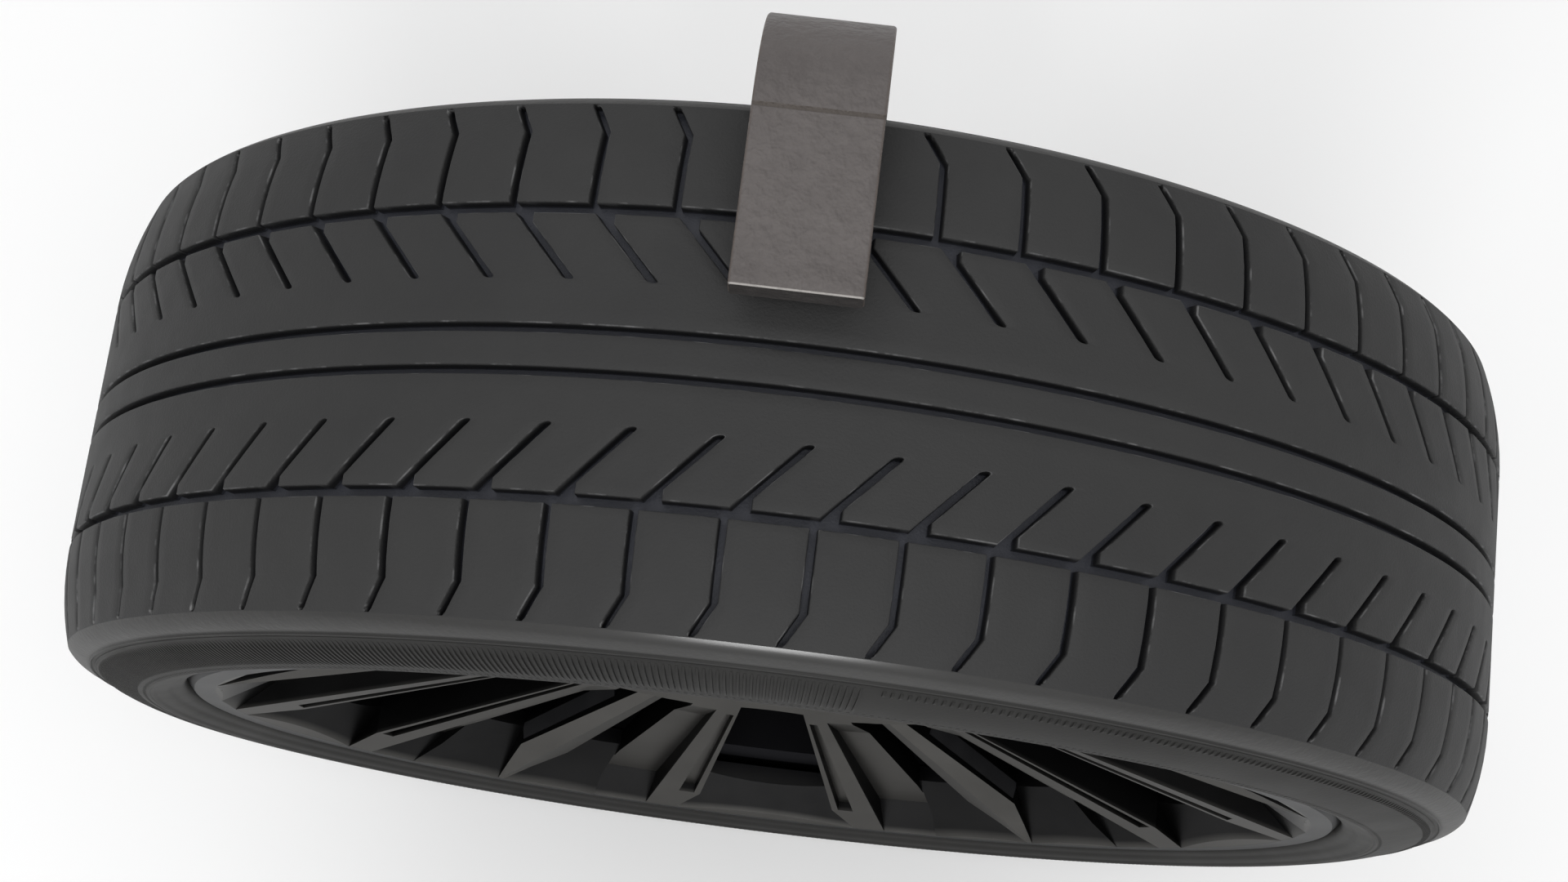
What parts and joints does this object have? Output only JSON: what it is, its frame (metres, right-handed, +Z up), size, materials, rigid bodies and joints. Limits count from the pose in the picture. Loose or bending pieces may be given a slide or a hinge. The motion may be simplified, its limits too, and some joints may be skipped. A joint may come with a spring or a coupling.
{
  "type": "car wheel on stub axle",
  "caption": "Car wheel with a low-profile tyre on a spoked alloy rim, turning on a hub and stub axle, with a bent flat-bar stay for a wing over the tread.",
  "frame": {"origin": "centre of the wheel, where the axle meets the tyre's middle plane", "axes": "+Y along the axle, away from the street side; +Z up, towards the stay's top; +X completes the frame"},
  "size_m": [0.6654, 0.2696, 0.687],
  "materials": {
    "tyre": "matte rubber, a little dusty",
    "wheel": "satin silver-grey lacquer",
    "inlay": "satin dark grey",
    "cap": "semi-gloss dark grey",
    "bolts": "plain zinc",
    "hub": "machined cast iron",
    "seal": "matte black",
    "plated": "plain zinc",
    "bearing": "ground steel",
    "axle": "machined steel",
    "stay": "worn warm grey paint, slightly hammered",
    "brass": "plain brass",
    "weights": "plain zinc-coated steel"
  },
  "bodies": {
    "axle": {"stub_axle": "axle", "outer_bearing_cone": "bearing", "inner_bearing_cone": "bearing", "spindle_washer": "plated", "castle_nut": "plated", "split_pin": "plated", "wing_stay": "stay", "stay_bolts": "bolts", "stay_washers": "plated"},
    "wheel": {"tyre": "tyre", "alloy_wheel": "wheel", "spoke_inlays": "inlay", "centre_cap": "cap", "wheel_bolts": "bolts", "hub": "hub", "grease_seal": "seal", "dust_cap": "plated", "outer_bearing_cup": "bearing", "outer_bearing_rollers": "bearing", "inner_bearing_cup": "bearing", "inner_bearing_rollers": "bearing", "valve_stem": "seal", "valve_tube": "brass", "valve_cap": "cap", "balance_weights": "weights"}
  },
  "joints": [
    {"name": "wheel_spin", "type": "hinge", "parent": "axle", "child": "wheel", "pos_m": [0, 0, 0], "axis": [0, 1, 0], "continuous": true}
  ]
}
